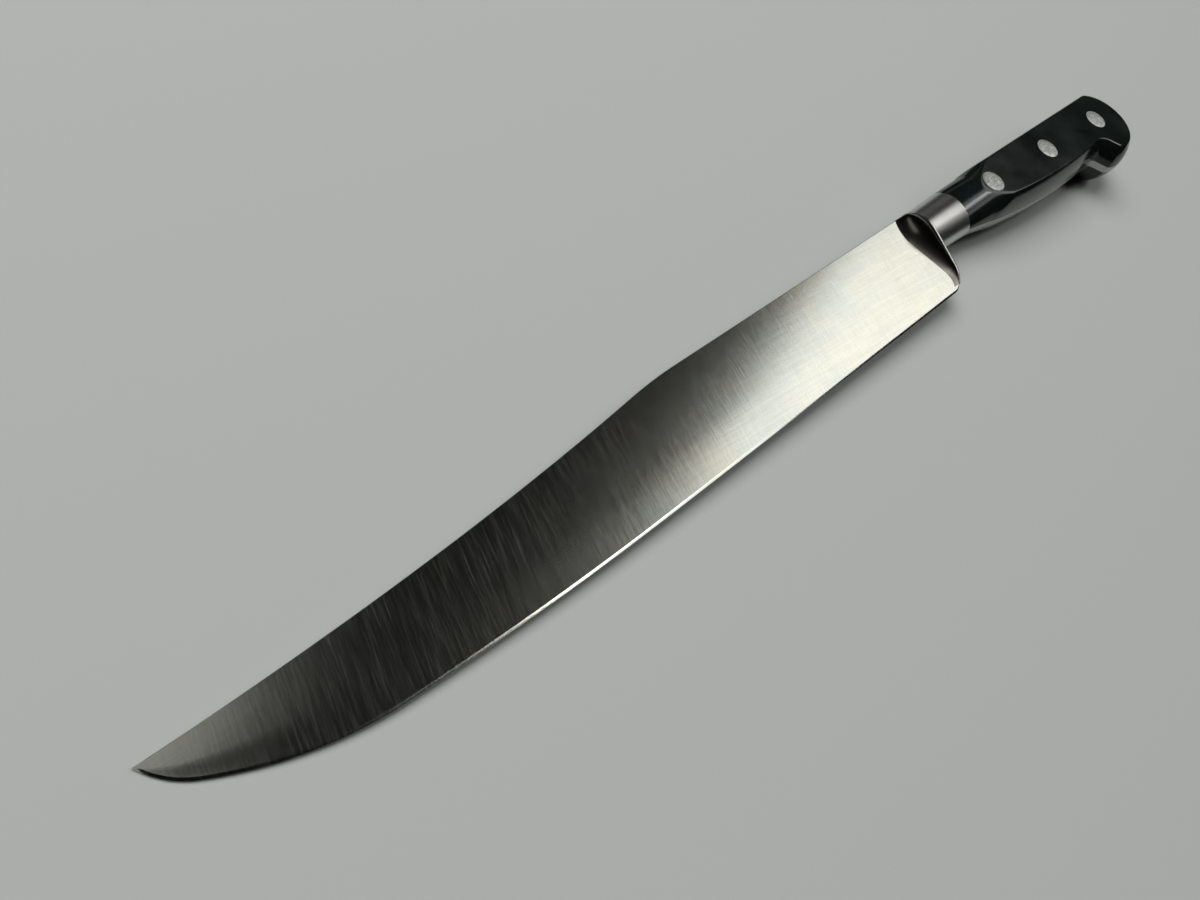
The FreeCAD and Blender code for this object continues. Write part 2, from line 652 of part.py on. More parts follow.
def make_edge_side():
    """All that lies above the cutting edge, with the sharpened bevel on both sides."""
    bevel_at = "(Sizes.bevel_height - Sizes.edge_thickness / 2) / tan(Sizes.bevel_angle * 1 deg)"
    bevel = (size("bevel_height") - size("edge_thickness") / 2) / math.tan(math.radians(size("bevel_angle")))
    levels = []
    for name, level, inset, inset_at in (
        ("right_top", "-Sizes.handle_thickness / 2", bevel, bevel_at),
        ("right_bevel", "-Sizes.bevel_height", bevel, bevel_at),
        ("right_edge", "-Sizes.edge_thickness / 2", 0.0, "0"),
        ("left_edge", "Sizes.edge_thickness / 2", 0.0, "0"),
        ("left_bevel", "Sizes.bevel_height", bevel, bevel_at),
        ("left_top", "Sizes.handle_thickness / 2", bevel, bevel_at),
    ):
        levels.append(edge_outline(name + "_outline", level, inset, inset_at))
    return ruled_loft("edge_side", levels)


def wedge_section(name, x, x_at, spine_thickness):
    """The ground section across the blade: thin below the edge, full at the spine and above it."""
    section = Outline(name)
    section.sketch.Placement = section_plane(x)
    bind(section.sketch, Placement__Base__x=x_at)
    low_y = size("grind_low_y")
    thin = size("grind_thickness") / 2
    slope = (size(spine_thickness) / 2 - thin) / (size("spine_at_guard") - low_y)
    high_y = size("collar_half_height") * 2
    high = thin + slope * (high_y - low_y)
    high_at = ("Sizes.grind_thickness / 2 + (Sizes.%s - Sizes.grind_thickness) / 2"
               " / (Sizes.spine_at_guard - Sizes.grind_low_y)"
               " * (2 * Sizes.collar_half_height - Sizes.grind_low_y)" % spine_thickness)
    corners = [
        (Vector(low_y, -thin, 0), "Sizes.grind_low_y", "-Sizes.grind_thickness / 2"),
        (Vector(high_y, -high, 0), "2 * Sizes.collar_half_height", "-(%s)" % high_at),
        (Vector(high_y, high, 0), "2 * Sizes.collar_half_height", high_at),
        (Vector(low_y, thin, 0), "Sizes.grind_low_y", "Sizes.grind_thickness / 2"),
    ]
    for (start, _, _), (end, _, _) in zip(corners, corners[1:] + corners[:1]):
        section.line(start, end)
    section.join()
    for item, (corner, y_at, z_at) in enumerate(corners):
        section.place(item, 0, corner, x=y_at, y=z_at)
    return section.sketch


def make_blade():
    guard_x = -size("guard_back")
    tip_x = guard_x - size("guard_land") - size("blade_length") - size("heel_radius")
    tip_at = "-Sizes.guard_back - Sizes.guard_land - Sizes.blade_length - Sizes.heel_radius"
    wedge = ruled_loft("wedge_grind", [
        wedge_section("guard_section", guard_x, "-Sizes.guard_back", "heel_spine_thickness"),
        wedge_section("tip_section", tip_x, tip_at, "tip_spine_thickness"),
    ])
    return common("ground_blade", [make_spine_side(), make_edge_side(), wedge])


# ---------------------------------------------------------------- guard and collar
# The bolster is forged in one with the blade: a cove rises out of the blade's side to the
# lip of the guard, a drop-shaped section that runs from the spine down to the heel, and
# behind it the oval collar carries the handle.

def drop_section(x, scale, height):
    """A drop across the knife: an oval top whose sides run out, tangent, to a thin foot."""
    centre_y = size("guard_centre_y")
    low_y = size("guard_low_y")
    half_width = size("guard_half_width") * scale
    foot_half = size("guard_low_half_width") * scale
    # on the unit circle, the tangent point for a line from the foot
    foot = Vector((low_y - centre_y) / height, foot_half / half_width, 0)
    touch = math.atan2(foot.y, foot.x) - math.acos(1 / foot.Length)
    side_y = centre_y + height * math.cos(touch)
    side_z = half_width * math.sin(touch)
    top = Part.Ellipse(Vector(height, 0, 0), Vector(0, half_width, 0), Vector(0, 0, 0))
    ring = top.toShape(-touch, touch)
    ring.Placement = section_plane(x)
    ring.translate(Vector(0, centre_y, 0))
    left = Vector(x, side_y, side_z)
    right = Vector(x, side_y, -side_z)
    left_foot = Vector(x, low_y, foot_half)
    right_foot = Vector(x, low_y, -foot_half)
    sides = Part.makePolygon([left, left_foot, right_foot, right])
    return Part.Wire([ring] + sides.Edges)


# Where the cove's sections stand, as shares of its length from the lip out to its foot.
RAMP_STATIONS = [1.0, 0.8, 0.5, 0.22, 0.0]


def make_guard():
    """The cove in front of the lip and the narrow land on it, trimmed to the round of the heel.

    Each section is the lip's drop, drawn in by a quarter circle that is hollow to the side.
    """
    lip_x = -size("guard_back") - size("guard_land")
    foot_scale = size("ramp_foot")
    sections = []
    for share in RAMP_STATIONS:
        cove = 1 - math.sqrt(1 - (1 - share) ** 2)
        scale = foot_scale + (1 - foot_scale) * cove
        height = size("guard_half_height") - size("ramp_drop") * share
        sections.append(drop_section(lip_x - size("ramp_length") * share, scale, height))
    ramp = Part.makeLoft(sections, True, False)
    lip = drop_section(lip_x, 1.0, size("guard_half_height"))
    land = Part.Face(lip).extrude(Vector(size("guard_land"), 0, 0))
    block = doc.addObject("Part::Feature", "guard_block")
    block.Shape = ramp.fuse(land)
    profile = edge_outline("guard_outline", None, -size("guard_proud"), "-Sizes.guard_proud")
    trim = extrusion("heel_round", profile, Vector(0, 0, 1), "2 * Sizes.handle_thickness")
    return common("guard", [block, trim])


def make_collar():
    """The oval collar from inside the guard back to the front end of the scales."""
    front = oval("collar_front_oval", "-Sizes.guard_back - Sizes.guard_land / 4", "Sizes.guard_centre_y",
                 "Sizes.guard_half_height - Sizes.guard_step",
                 "Sizes.guard_half_width - Sizes.guard_step")
    back = oval("collar_back_oval", "-Sizes.collar_end", "Sizes.collar_centre_y",
                "Sizes.collar_half_height", "Sizes.collar_half_width")
    return ruled_loft("collar", [front, back])


# ---------------------------------------------------------------- the knife

# grams per cubic centimetre, for the balance of the lying knife
DENSITY = {"steel": 7.8, "polymer": 1.41, "aluminium": 2.7}
# how far the points that find the resting tilt may lie off the true surface
RESTING_DEFLECTION = 0.02


def resting_placement(pieces):
    """Lay the knife down: its lowest two places under the centre of mass come to Z = 0.

    The outline seen from the side is taken to its lower convex hull. The hull's edge below
    the centre of mass is what the knife rests on: the front of the right cheek and the tip.
    """
    points = []
    mass = 0.0
    moment = 0.0
    for piece, density in pieces:
        points += piece.Shape.tessellate(RESTING_DEFLECTION)[0]
        for solid in piece.Shape.Solids:
            mass += solid.Volume * density
            moment += solid.Volume * density * solid.CenterOfMass.x
    hull = []
    for point in sorted(points, key=lambda each: (each.x, each.z)):
        while len(hull) > 1:
            first, second = hull[-2], hull[-1]
            turn = (second.x - first.x) * (point.z - first.z) - (second.z - first.z) * (point.x - first.x)
            if turn > 0:
                break
            hull.pop()
        hull.append(point)
    balance = moment / mass
    front, back = [edge for edge in zip(hull, hull[1:]) if edge[0].x <= balance <= edge[1].x][0]
    tilt = Rotation(Vector(0, 1, 0), math.degrees(math.atan2(back.z - front.z, back.x - front.x)))
    turned_points = [tilt.multVec(point) for point in points]
    xs = [point.x for point in turned_points]
    ys = [point.y for point in turned_points]
    lowest = min(point.z for point in turned_points)
    base = Vector(-(min(xs) + max(xs)) / 2, -(min(ys) + max(ys)) / 2, -lowest)
    return Placement(base, tilt)


handle_block = make_handle_block()
tang_taper, left_side, right_side = make_tang_and_scale_panels()
drilling = make_rivet_holes()

tang = common("tang", [handle_block, tang_taper])
forged = fuse("forged_blank", [make_blade(), make_guard(), make_collar(), tang])
blade = cut("blade", forged, drilling)
left_scale = cut("left_scale", common("left_scale_blank", [handle_block, left_side]), drilling)
right_scale = cut("right_scale", common("right_scale_blank", [handle_block, right_side]), drilling)
rivet_halves = []
for station, rivet in enumerate(RIVETS):
    rivet_halves += make_rivet(rivet, station)

knife = [(blade, DENSITY["steel"]), (left_scale, DENSITY["polymer"]), (right_scale, DENSITY["polymer"])]
knife += [(half, DENSITY["aluminium"]) for half in rivet_halves]

doc.recompute()
for thing in doc.Objects:
    if "Invalid" in thing.State or "Error" in thing.State:
        raise RuntimeError("%s did not build: %s" % (thing.Name, thing.State))

resting = resting_placement(knife)
for piece, density in knife:
    piece.Placement = resting
doc.recompute()

os.makedirs("parts", exist_ok=True)
for piece, density in knife:
    shape = piece.Shape
    if shape.isNull() or not shape.isValid() or len(shape.Solids) != 1:
        raise RuntimeError("%s is not one valid solid" % piece.Name)
    piece.Label = piece.Name
    shape.exportStep("parts/%s.step" % piece.Label)
    print("%-22s %9.1f mm3" % (piece.Label, shape.Volume))
print("placement", resting)
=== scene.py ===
"""The looks of a forged carving knife that lies on its right side on a pale floor.

Each section makes one piece of the knife, and the last one the floor, the lamps and the camera.
Shapes are worked out in the knife's own directions, in metres: x from the front rivet to the
butt, y to the spine and z through the left cheek.
"""
import json
import math

import bmesh
import bpy
import numpy as np
from mathutils import Matrix


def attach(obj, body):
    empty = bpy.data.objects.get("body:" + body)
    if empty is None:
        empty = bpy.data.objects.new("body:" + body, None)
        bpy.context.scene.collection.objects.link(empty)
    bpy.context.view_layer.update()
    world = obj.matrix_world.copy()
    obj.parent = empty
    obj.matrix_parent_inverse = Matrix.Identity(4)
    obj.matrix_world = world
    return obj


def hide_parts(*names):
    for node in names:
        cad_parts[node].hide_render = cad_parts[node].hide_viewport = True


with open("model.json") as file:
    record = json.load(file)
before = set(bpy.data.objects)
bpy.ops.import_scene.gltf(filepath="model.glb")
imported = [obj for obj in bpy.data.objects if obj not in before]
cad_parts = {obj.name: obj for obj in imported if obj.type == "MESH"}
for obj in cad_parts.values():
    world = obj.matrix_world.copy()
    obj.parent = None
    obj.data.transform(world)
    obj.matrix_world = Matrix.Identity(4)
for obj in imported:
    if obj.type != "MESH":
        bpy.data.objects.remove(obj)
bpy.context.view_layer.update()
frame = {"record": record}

# ---------------------------------------------------------------- the ground blade
# The blade is forged steel, ground thin from spine to edge and from heel to tip, and finished
# on a fine belt that leaves lines across it. The edge is then sharpened with a narrow bevel.
guard_back_x = -0.034
guard_land = 0.001
guard_front_x = guard_back_x - guard_land
heel_radius = 0.0068
heel_centre = np.array([guard_back_x - guard_land / 2 - heel_radius, -0.01445])
blade_length = 0.2484
tip_x = guard_front_x - blade_length

spine_at_guard = 0.00764
spine_lean = math.radians(1.8)
spine_straight = 0.1056
spine_bend_radius = 0.144
spine_bend = math.radians(6.5)
spine_sweep_radius = 0.978
spine_sweep = math.radians(8.2)

edge_lean = math.radians(1.9)
edge_sweep_radius = 0.96
edge_sweep = math.radians(4.25)
belly_sweep_radius = 0.08
belly_sweep = math.radians(26.4)
tip_radius = 0.0176
tip_turn = math.radians(37.35)

spine_half_at_guard = 0.00145
spine_half_at_tip = 0.00075
least_ground_half = 0.00015
least_ground_y = -0.0275
shoulder_from = 0.6
shoulder_to = 0.95
shoulder_drop = 0.00003
full_shoulder_width = 0.008
eased_back = 0.00018
bevel_width = 0.0006
bevel_roundness = 1.3
edge_half_thickness = 0.00005
heel_ease = 0.0004
heel_roundness = 2.0
heel_half_thickness = 0.00017

# the mounts on the two cheeks face each other across the handle, and say how the knife lies
cheeks = {mount["name"]: np.array(mount["pos_m"]) for mount in frame["record"]["mounts"]}
cheek_mount_x = 0.018
handle_thickness = float(np.linalg.norm(cheeks["left_cheek"] - cheeks["right_cheek"]))
through = (cheeks["left_cheek"] - cheeks["right_cheek"]) / handle_thickness
along = np.array([through[2], 0.0, -through[0]])


def as_it_lies(points):
    """Turn points from the knife's own directions to the way the knife lies.

    The knife rests on the front of its right cheek and on its tip, a little tilted. Each point
    is the middle between the mounts, plus its x from there along the handle, its y sideways and
    its z through the cheeks.
    """
    middle = (cheeks["left_cheek"] + cheeks["right_cheek"]) / 2
    x, y, z = points[..., 0:1], points[..., 1:2], points[..., 2:3]
    return middle + (x - cheek_mount_x) * along + y * np.array([0.0, 1.0, 0.0]) + z * through


def point_grid(x, y, z):
    """Stack three arrays, stretched to one shape, into points."""
    return np.stack(np.broadcast_arrays(x, y, z), axis=-1)


def closed_tube(rings):
    """Points and faces of a tube through closed rings, an array of (ring, place on it, xyz).

    Neighbouring rings are joined by quads, and each end is closed by a fan to its own middle.
    """
    count, around = rings.shape[:2]
    points = np.concatenate([rings.reshape(-1, 3), [rings[0].mean(0), rings[-1].mean(0)]])
    here = np.arange(around)
    after = (here + 1) % around
    base = np.arange(count - 1)[:, None] * around
    quads = np.stack([base + here, base + after, base + around + after, base + around + here], axis=-1)
    last = (count - 1) * around
    first_middle = np.full(around, count * around)
    first_fan = np.stack([first_middle, after, here], axis=1)
    last_fan = np.stack([first_middle + 1, last + here, last + after], axis=1)
    return points, quads.reshape(-1, 4).tolist() + first_fan.tolist() + last_fan.tolist()


def knife_piece(name, rings, material, sharp_over=35.0):
    """Make a closed tube into one smooth piece that rides on the knife.

    Points that meet are merged and all faces turned outwards. Corners that turn by more than
    sharp_over degrees stay sharp. A map named "sides" holds each point's x and y in metres, so
    that a finish can follow the length of the knife.
    """
    mesh = bpy.data.meshes.new(name)
    points, faces = closed_tube(rings)
    mesh.from_pydata(points.tolist(), [], faces)
    shape = bmesh.new()
    shape.from_mesh(mesh)
    bmesh.ops.remove_doubles(shape, verts=shape.verts, dist=1e-7)
    bmesh.ops.dissolve_degenerate(shape, edges=shape.edges, dist=1e-8)
    bmesh.ops.recalc_face_normals(shape, faces=shape.faces)
    shape.to_mesh(mesh)
    shape.free()
    places = np.zeros(len(mesh.vertices) * 3)
    mesh.vertices.foreach_get("co", places)
    places = places.reshape(-1, 3)
    corners = np.zeros(len(mesh.loops), dtype=np.int32)
    mesh.loops.foreach_get("vertex_index", corners)
    mesh.uv_layers.new(name="sides").data.foreach_set("uv", places[corners, :2].ravel())
    mesh.vertices.foreach_set("co", as_it_lies(places).ravel())
    mesh.polygons.foreach_set("use_smooth", np.ones(len(mesh.polygons), dtype=bool))
    mesh.set_sharp_from_angle(angle=math.radians(sharp_over))
    mesh.materials.append(material)
    piece = bpy.data.objects.new(name, mesh)
    bpy.context.scene.collection.objects.link(piece)
    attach(piece, "root")
    return piece


def chain(start, heading, bends, steps):
    """Points along a path of straight runs and arcs, each tangent to the one before.

    A bend is (length, 0) for a run or (radius, turn) for an arc, whose points are its centre
    plus the radius turned step by step; a positive turn is anticlockwise.
    """
    points = [np.array([start])]
    here = np.array(start)
    for (reach, turn), count in zip(bends, steps):
        share = np.linspace(0, 1, count + 1)[1:, None]
        if turn == 0:
            leg = here + share * reach * np.array([math.cos(heading), math.sin(heading)])
        else:
            side = math.copysign(1.0, turn)
            centre = here + side * reach * np.array([-math.sin(heading), math.cos(heading)])
            angle = heading + share * turn
            leg = centre + side * reach * np.concatenate([np.sin(angle), -np.cos(angle)], axis=1)
            heading += turn
        points.append(leg)
        here = leg[-1]
    return np.concatenate(points)


def spine_line():
    """The spine from the guard to the tip: straight, bent down, then swept up a little."""
    bends = [(spine_straight, 0), (spine_bend_radius, spine_bend), (spine_sweep_radius, -spine_sweep)]
    line = chain((guard_front_x, spine_at_guard), math.pi + spine_lean, bends, (60, 24, 140))
    return line[line[:, 0] > tip_x]


def edge_line():
    """The heel and the cutting edge: down the heel, round its corner, and out to the tip.

    The straight run is as long as the place of the tip leaves it.
    """
    bends = [(heel_radius, -(math.pi / 2 - edge_lean)), (0.0, 0), (edge_sweep_radius, -edge_sweep),
             (belly_sweep_radius, -belly_sweep), (tip_radius, -tip_turn)]
    start = (heel_centre[0] + heel_radius, heel_centre[1])
    without_run = chain(start, -math.pi / 2, bends, (1, 1, 1, 1, 1))
    missing = without_run[:, 0].min() - tip_x
    bends[1] = (missing / math.cos(edge_lean), 0)
    return chain(start, -math.pi / 2, bends, (28, 60, 40, 50, 40))


def by_length(line):
    """How far along a line each of its points lies, as a share of the whole."""
    steps = np.linalg.norm(np.diff(line, axis=0), axis=1)
    run = np.concatenate([[0.0], np.cumsum(steps)])
    return run / run[-1]


def half_thickness(x, y):
    """Half the ground thickness: it grows in a straight line from below the edge to the spine,
    and less steeply towards the tip."""
    share = np.clip((guard_back_x - x) / (blade_length + heel_radius), 0, 1)
    gain_at_guard = spine_half_at_guard - least_ground_half
    gain_at_tip = spine_half_at_tip - least_ground_half
    gain = gain_at_guard * (1 - share) + gain_at_tip * share
    return least_ground_half + gain * (y - least_ground_y) / (spine_at_guard - least_ground_y)


def blade_rings():
    """Rings across the blade: out over the left side, round the edge and back over the right.

    Each ring runs on a straight rib from a point of the spine to one of the edge. The height of
    a side is the ground thickness, less a soft step between shoulder_from and shoulder_to, where
    the belt has rounded the side: the step's share is 3 w squared less 2 w cubed. Within the
    bevel's width of the edge it falls to the edge's thickness with a power of the way, which is
    bevel_roundness where the blade is sharpened and heel_roundness up the heel.
    """
    edge = edge_line()
    spine = np.concatenate([spine_line(), edge[-1:]])
    share = by_length(edge)
    corner = math.pi / 2 * heel_radius
    heel = corner / (corner + blade_length)
    # the ribs start close together at the heel corner and end together at the tip
    ribs_from = heel * 0.9
    spine_share = np.clip((share - ribs_from) / (1 - ribs_from), 0, 1)
    run = by_length(spine)
    top = np.stack([np.interp(spine_share, run, spine[:, axis]) for axis in (0, 1)], axis=1)
    rib = edge - top
    width = np.linalg.norm(rib, axis=1, keepdims=True)
    sharp_from = heel * 1.15
    sharpened = np.clip(share / sharp_from, 0, 1)[:, None] ** 2
    most_bevel = width * 0.3
    bevel = np.minimum(heel_ease + (bevel_width - heel_ease) * sharpened, most_bevel)
    # four distances over the eased back, 45 down the side and four across the bevel
    most_eased = width * 0.05
    over_back = np.minimum(eased_back * np.array([[0.0, 0.12, 0.45, 1.0]]), most_eased)
    down = np.linspace(0, 1, 46)[None, 1:]
    down_side = over_back[:, -1:] + (width - bevel - over_back[:, -1:]) * down
    across_bevel = width - bevel * np.array([[0.75, 0.5, 0.25, 0.0]])
    distances = np.concatenate([over_back, down_side, across_bevel], axis=1)
    # at the tip a rib has no width, so it is divided by a nanometre
    nanometre = 1e-9
    share_down = distances / np.maximum(width, nanometre)
    flat = top[:, None, :] + rib[:, None, :] * share_down[..., None]
    left = half_thickness(flat[..., 0], flat[..., 1])
    way = np.clip((share_down - shoulder_from) / (shoulder_to - shoulder_from), 0, 1)
    left -= shoulder_drop * way ** 2 * (3 - 2 * way) * np.minimum(width / full_shoulder_width, 1)
    left[:, :4] -= eased_back * np.array([1.0, 0.5, 0.15, 0.0])
    into_bevel = np.clip(1 - (width - distances) / np.maximum(bevel, nanometre), 0, 1)
    rim = edge_half_thickness + (heel_half_thickness - edge_half_thickness) * (1 - sharpened)
    power = heel_roundness + (bevel_roundness - heel_roundness) * sharpened
    left += (rim - left) * into_bevel ** power
    one_side = point_grid(flat[..., 0], flat[..., 1], left)
    other_side = one_side[:, ::-1] * np.array([1.0, 1.0, -1.0])
    return np.concatenate([one_side, other_side], axis=1)


class Finish:
    """A node material. Its calls add nodes, and link or set each thing that they are given."""

    def __init__(self, name):
        self.material = bpy.data.materials.new(name)
        self.material.use_nodes = True
        self.nodes = self.material.node_tree.nodes
        self.shader = self.nodes["Principled BSDF"]

    def feed(self, socket, given):
        """Link a socket to the output that is given, or set it to the value."""
        if isinstance(given, bpy.types.NodeSocket):
            self.material.node_tree.links.new(given, socket)
        else:
            socket.default_value = given

    def set(self, node, **sockets):
        """Feed a node's sockets by their names."""
        for name, given in sockets.items():
            self.feed(node.inputs[name.replace("_", " ")], given)

    def add(self, kind, **sockets):
        """Add a node of a kind and feed its sockets by their names."""
        node = self.nodes.new(kind)
        self.set(node, **sockets)
        return node

    def place(self, scale, turn=(0.0, 0.0, 0.0)):
        """Object coordinates, turned and then stretched: a scale per metre along x, y and z."""
        where = self.add("ShaderNodeTexCoord").outputs["Object"]
        if any(turn):
            where = self.add("ShaderNodeMapping", Vector=where, Rotation=turn).outputs["Vector"]
        return self.add("ShaderNodeMapping", Vector=where, Scale=scale).outputs["Vector"]

    def noise(self, scale, turn=(0.0, 0.0, 0.0), detail=3.0, roughness=0.6):
        """Soft noise that repeats about scale times a metre along x, y and z."""
        node = self.add("ShaderNodeTexNoise", Vector=self.place(scale, turn), Scale=1.0,
                        Detail=detail, Roughness=roughness)
        return node.outputs["Fac"]

    def between(self, value, low, high, first=0.0, last=1.0):
        """Carry a value from the range low to high over to the range first to last."""
        node = self.nodes.new("ShaderNodeMapRange")
        for socket, given in zip(node.inputs, (value, low, high, first, last)):
            self.feed(socket, given)
        return node.outputs["Result"]

    def times(self, first, second):
        """Multiply two values."""
        node = self.nodes.new("ShaderNodeMath")
        node.operation = "MULTIPLY"
        for socket, given in zip(node.inputs, (first, second)):
            self.feed(socket, given)
        return node.outputs["Value"]

    def blend(self, share, first, second, kind="MIX"):
        """Mix two colours by a share."""
        node = self.nodes.new("ShaderNodeMix")
        node.data_type = "RGBA"
        node.blend_type = kind
        # a mix node has sockets for each kind of value, and these are the ones for colours
        share_place, first_place, second_place, result_place = 0, 6, 7, 2
        self.feed(node.inputs[share_place], share)
        self.feed(node.inputs[first_place], first)
        self.feed(node.inputs[second_place], second)
        return node.outputs[result_place]

    def shaded(self, colour, share, shade):
        """Multiply a colour by a shade where the share is 0, and leave it where it is 1."""
        layer = self.blend(share, shade + (1,), (1, 1, 1, 1))
        return self.blend(1.0, colour, layer, kind="MULTIPLY")

    def bump(self, height, distance, strength, under=None):
        """Raise the surface by a height of 0 to 1 times a distance in metres."""
        node = self.add("ShaderNodeBump", Height=height, Distance=distance, Strength=strength)
        if under:
            self.set(node, Normal=under)
        return node.outputs["Normal"]


def slanted(degrees):
    """A turn about z, for lines that don't run square across the blade."""
    return (0.0, 0.0, math.radians(degrees))


def ground_steel():
    """Satin stainless steel: fine belt lines across the blade, thin scratches, and faint stains.

    Each kind of line is noise that is stretched along its own direction. Where the noise stands
    high a line scatters a little light, so that it is pale on the dark part of the blade.
    """
    finish = Finish("satin_ground_steel")
    fine = finish.noise((2400.0, 140.0, 140.0), slanted(12), detail=2.0)
    broad = finish.noise((1300.0, 60.0, 60.0), slanted(12), detail=3.0)
    scratches = finish.noise((3300.0, 75.0, 75.0), slanted(15), detail=1.0)
    lengthwise = finish.noise((70.0, 1900.0, 70.0), slanted(3), detail=2.0)
    cloud = finish.noise((38.0, 52.0, 50.0), detail=4.0)
    stain = finish.noise((95.0, 120.0, 100.0), detail=5.0)
    greenish, creamy = (0.65, 0.672, 0.61, 1), (0.685, 0.672, 0.57, 1)
    colour = finish.blend(finish.between(cloud, 0.38, 0.66), greenish, creamy)
    colour = finish.shaded(colour, finish.between(stain, 0.35, 0.68), (0.93, 0.93, 0.93))
    colour = finish.shaded(colour, finish.between(broad, 0.32, 0.7), (0.96, 0.96, 0.96))
    colour = finish.shaded(colour, finish.between(fine, 0.3, 0.7), (0.88, 0.88, 0.88))
    colour = finish.shaded(colour, finish.between(lengthwise, 0.3, 0.7), (0.91, 0.91, 0.91))
    bare = finish.times(finish.between(scratches, 0.6, 0.72, 1.0, 0.95),
                        finish.between(fine, 0.45, 0.7, 1.0, 0.985))
    lengthways = finish.nodes.new("ShaderNodeTangent")
    lengthways.direction_type = "UV_MAP"
    lengthways.uv_map = "sides"
    finish.set(finish.shader, Base_Color=colour, Metallic=bare, Anisotropic=0.6,
               Roughness=finish.between(fine, 0.3, 0.7, 0.155, 0.182),
               Normal=finish.bump(fine, 0.000006, 0.6), Tangent=lengthways.outputs["Tangent"])
    return finish.material


blade = knife_piece("blade_ground", blade_rings(), ground_steel(), sharp_over=6.0)
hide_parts("blade")

# ---------------------------------------------------------------- the bolster
# The bolster is forged in one with the blade: a hollow cove rises to the lip of the guard, which
# narrows down to the heel, and an oval collar behind it carries the handle. It is polished.
guard_half_height = 0.0079
guard_half_width = 0.0063
guard_centre_y = 0.0001
guard_low_y = -0.0197
guard_foot_half_width = 0.0006
lip_round = 0.00024
thinnest_lip = 0.12
cove_length = 0.0067
cove_start = 0.5
cove_start_low = 0.65
cove_start_power = 1.5
cove_top_reach = 0.0105
cove_fall = 33.0
cove_sunk = 0.00002
cove_under_back = 0.0001
cove_back_share = 0.1
collar_root_step = 0.00015
collar_root_run = 0.0001
collar_end_x = -0.0165
collar_half_height = 0.0083
collar_half_width = 0.006
collar_centre_y = 0.0006


def drop_ring():
    """A drop across the knife, as y and z: an ellipse whose sides run on, tangent, to a thin foot.

    With the ellipse stretched to a unit circle, each side touches it at the angle of the foot
    less the arc cosine of 1 over the foot's distance.
    """
    foot_y = (guard_low_y - guard_centre_y) / guard_half_height
    foot_z = guard_foot_half_width / guard_half_width
    touch = np.arctan2(foot_z, foot_y) - np.arccos(1 / np.hypot(foot_y, foot_z))
    turn = np.linspace(-1, 1, 72)[None, :] * touch
    oval_y = guard_centre_y + guard_half_height * np.cos(turn)
    oval_z = guard_half_width * np.sin(turn)
    down = np.linspace(0, 1, 40)[None, 1:]
    side_y = oval_y[:, -1:] + (guard_low_y - oval_y[:, -1:]) * down
    side_z = oval_z[:, -1:] + (guard_foot_half_width - oval_z[:, -1:]) * down
    y = np.concatenate([oval_y, side_y, side_y[:, ::-1]], axis=1)
    z = np.concatenate([oval_z, side_z, -side_z[:, ::-1]], axis=1)
    return y, z


def grown(y, z, out):
    """Places on the drop, moved straight away from the guard's middle by a distance."""
    least_reach = 0.002
    reach = np.maximum(np.hypot(y - guard_centre_y, z), least_reach)
    grow = 1 + out / reach
    return guard_centre_y + (y - guard_centre_y) * grow, z * grow


def thinned(rings):
    """Draw rings together along the knife, more and more from the heel's centre down to the foot,
    so that the lip runs out on the round of the heel."""
    share = np.clip((rings[..., 1] - guard_low_y) / (heel_centre[1] - guard_low_y), thinnest_lip, 1)
    middle_x = (guard_front_x + guard_back_x) / 2
    rings[..., 0] = middle_x + (rings[..., 0] - middle_x) * share
    return rings


def heel_retreat(y):
    """How far the round of the heel's corner has moved the back of the blade forward at a height."""
    most_drop = heel_radius * 0.95
    drop = np.clip(heel_centre[1] - y, 0, most_drop)
    return heel_radius - np.sqrt(heel_radius ** 2 - drop ** 2)


def cove_reach(y):
    """How far the cove runs out in front of the lip: an ellipse above the middle, where it wraps
    over the spine, and a straight taper below it, down to the heel."""
    above = np.sqrt(np.clip(1 - (y / cove_top_reach) ** 2, 0, 1))
    return cove_length * np.where(y > 0, above, 1 + cove_fall * y)


def cove_rings(drop_y, drop_z):
    """Rings of the cove, from its foot on the blade to the front of the lip.

    The cove is the last part of a quarter ellipse, so that it leaves the blade's side at an
    angle and ends square at the lip. The turn t runs from cove_start, or cove_start_low more at
    the foot, to a right angle. There the cove stands in front of the lip by a share that falls
    with 1 - sin t, and has risen to the drop by a share that grows with - cos t.
    """
    start = cove_start + cove_start_low * np.clip(drop_y / guard_low_y, 0, 1) ** cove_start_power
    turn = start + np.linspace(0, 1, 40)[:, None] * (math.pi / 2 - start)
    rise = 1 - np.cos(turn) / np.cos(start)
    short = (1 - np.sin(turn)) / (1 - np.sin(start))
    foot_x = guard_front_x - heel_retreat(drop_y) - cove_reach(drop_y)
    blade_z = half_thickness(foot_x, np.minimum(drop_y, spine_at_guard)) - cove_sunk
    blade_z = np.minimum(blade_z, np.abs(drop_z))
    z = np.sign(drop_z) * (blade_z + (np.abs(drop_z) - blade_z) * rise)
    # over the spine the cove starts just under the blade's back and rises to the drop's top
    under_back = spine_at_guard - cove_under_back
    foot_y = np.minimum(drop_y, under_back + (drop_y - spine_at_guard) * cove_back_share)
    y = foot_y + (drop_y - foot_y) * rise
    rings = point_grid(guard_front_x - cove_reach(drop_y) * short, y, z)
    rings[-1, :, 1], rings[-1, :, 2] = grown(rings[-1, :, 1], rings[-1, :, 2], -lip_round)
    return rings


